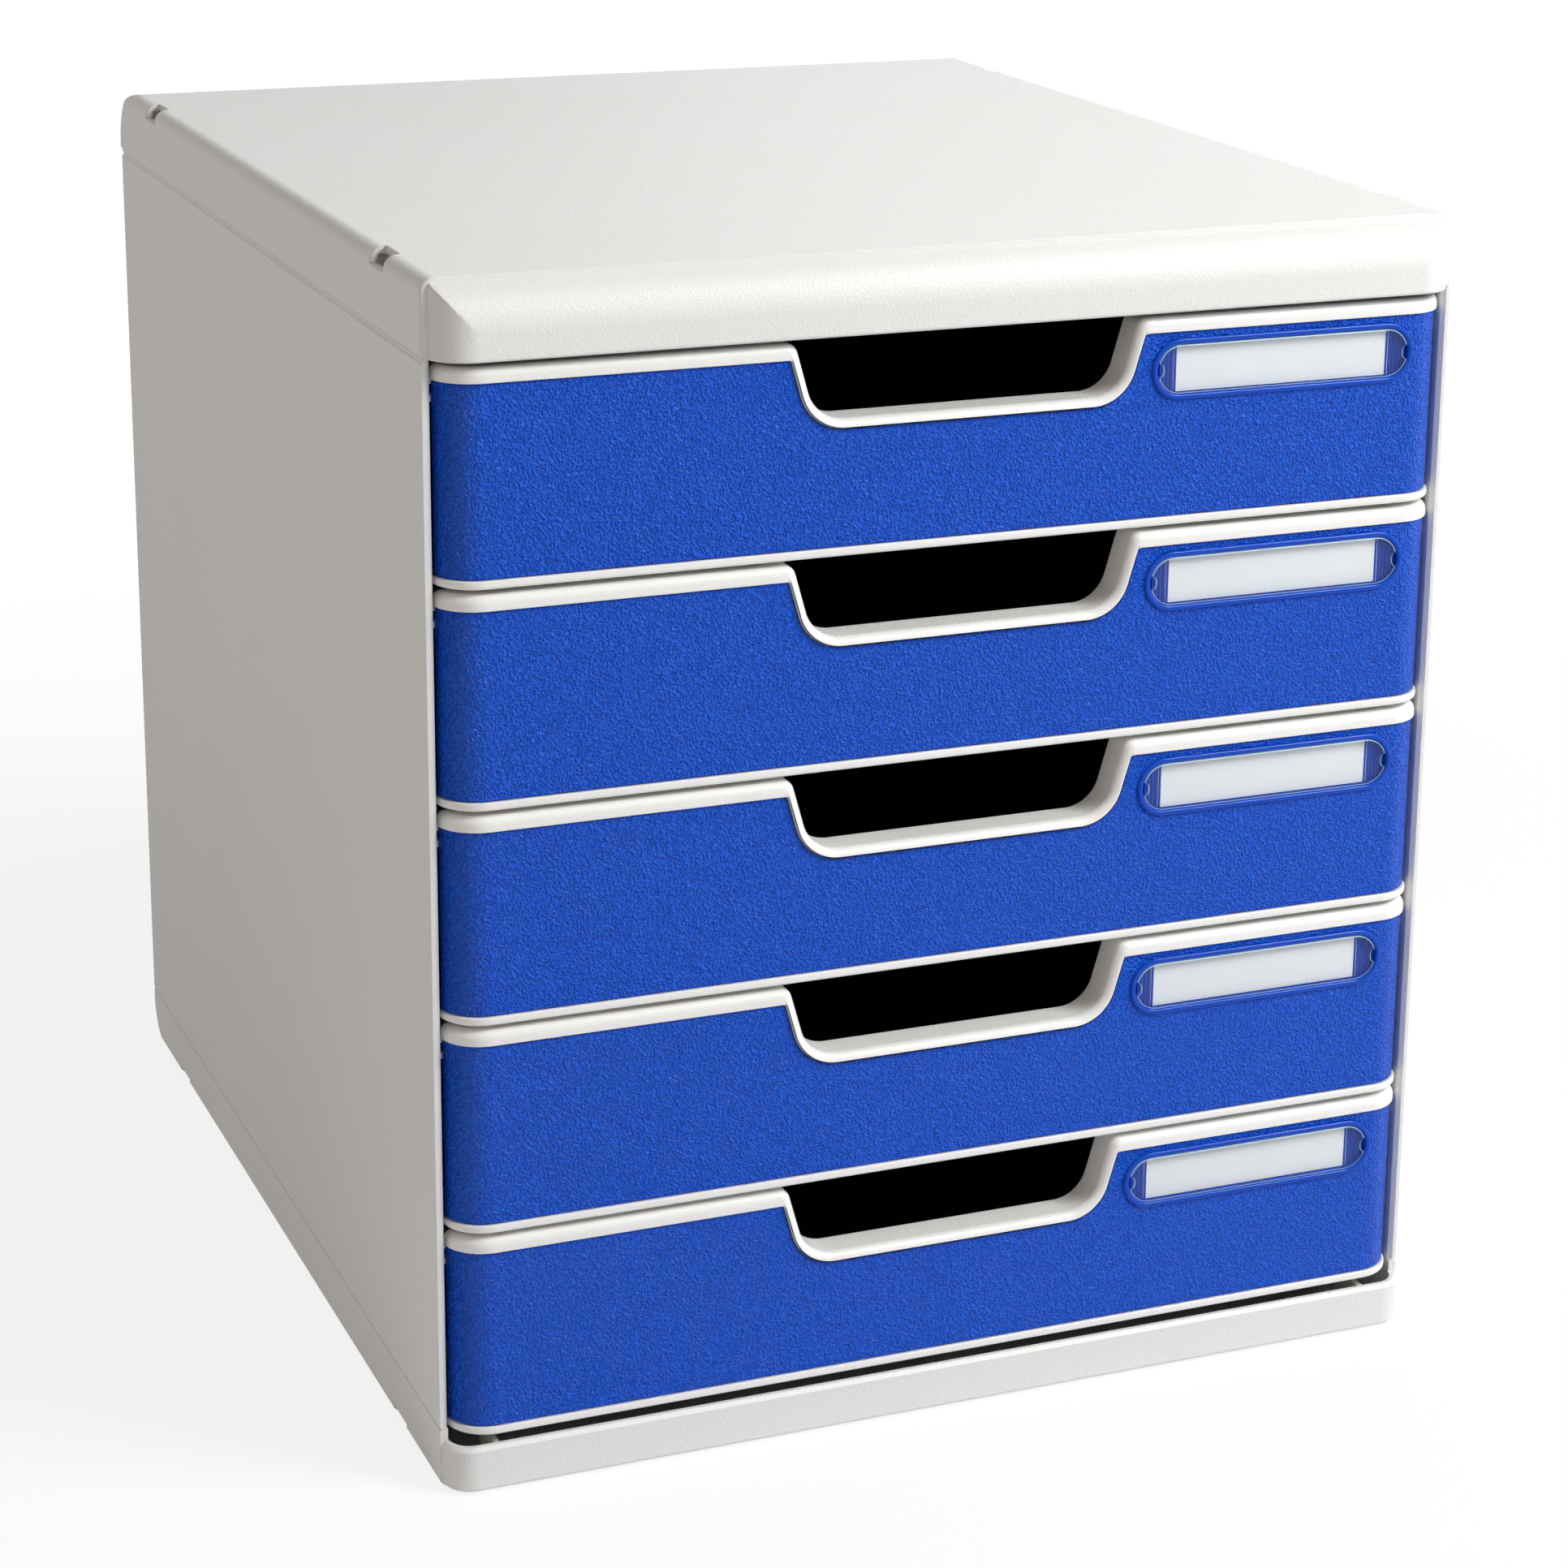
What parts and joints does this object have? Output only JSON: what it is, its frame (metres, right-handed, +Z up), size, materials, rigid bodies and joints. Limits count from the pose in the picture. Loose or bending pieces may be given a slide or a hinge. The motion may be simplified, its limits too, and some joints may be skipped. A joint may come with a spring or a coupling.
{
  "type": "file box with drawers",
  "caption": "Desktop file box: pull-out trays with blue fronts, finger cut-outs and label windows, in a light grey housing that stacks.",
  "frame": {"origin": "on the desk, under the middle of the object's bounding box", "axes": "+X to the right seen from the front, +Y from the drawer fronts to the rear wall, +Z up; the drawers open towards -Y"},
  "size_m": [0.285, 0.342, 0.3202],
  "materials": {
    "light_grey_plastic": "fine satin",
    "blue_plastic": "fine-grained satin",
    "black_plastic": "fine satin",
    "clear_plastic": "clear, gloss",
    "white_card": "uncoated paper",
    "rubber": "matte"
  },
  "bodies": {
    "housing": {"top_cover": "light_grey_plastic", "left_side_panel": "light_grey_plastic", "right_side_panel": "light_grey_plastic", "back_panel": "light_grey_plastic", "base": "light_grey_plastic", "rubber_feet": "rubber"},
    "drawer_1": {"drawer_1_tray": "black_plastic", "drawer_1_front_frame": "light_grey_plastic", "drawer_1_front_panel": "blue_plastic", "drawer_1_label_window": "clear_plastic", "drawer_1_label_card": "white_card"},
    "drawer_2": {"drawer_2_tray": "black_plastic", "drawer_2_front_frame": "light_grey_plastic", "drawer_2_front_panel": "blue_plastic", "drawer_2_label_window": "clear_plastic", "drawer_2_label_card": "white_card"},
    "drawer_3": {"drawer_3_tray": "black_plastic", "drawer_3_front_frame": "light_grey_plastic", "drawer_3_front_panel": "blue_plastic", "drawer_3_label_window": "clear_plastic", "drawer_3_label_card": "white_card"},
    "drawer_4": {"drawer_4_tray": "black_plastic", "drawer_4_front_frame": "light_grey_plastic", "drawer_4_front_panel": "blue_plastic", "drawer_4_label_window": "clear_plastic", "drawer_4_label_card": "white_card"},
    "drawer_5": {"drawer_5_tray": "black_plastic", "drawer_5_front_frame": "light_grey_plastic", "drawer_5_front_panel": "blue_plastic", "drawer_5_label_window": "clear_plastic", "drawer_5_label_card": "white_card"}
  },
  "joints": [
    {"name": "drawer_1_slide", "type": "slide", "parent": "housing", "child": "drawer_1", "axis": [0, -1, 0], "range_m": [0, 0.24]},
    {"name": "drawer_2_slide", "type": "slide", "parent": "housing", "child": "drawer_2", "axis": [0, -1, 0], "range_m": [0, 0.24]},
    {"name": "drawer_3_slide", "type": "slide", "parent": "housing", "child": "drawer_3", "axis": [0, -1, 0], "range_m": [0, 0.24]},
    {"name": "drawer_4_slide", "type": "slide", "parent": "housing", "child": "drawer_4", "axis": [0, -1, 0], "range_m": [0, 0.24]},
    {"name": "drawer_5_slide", "type": "slide", "parent": "housing", "child": "drawer_5", "axis": [0, -1, 0], "range_m": [0, 0.24]}
  ]
}
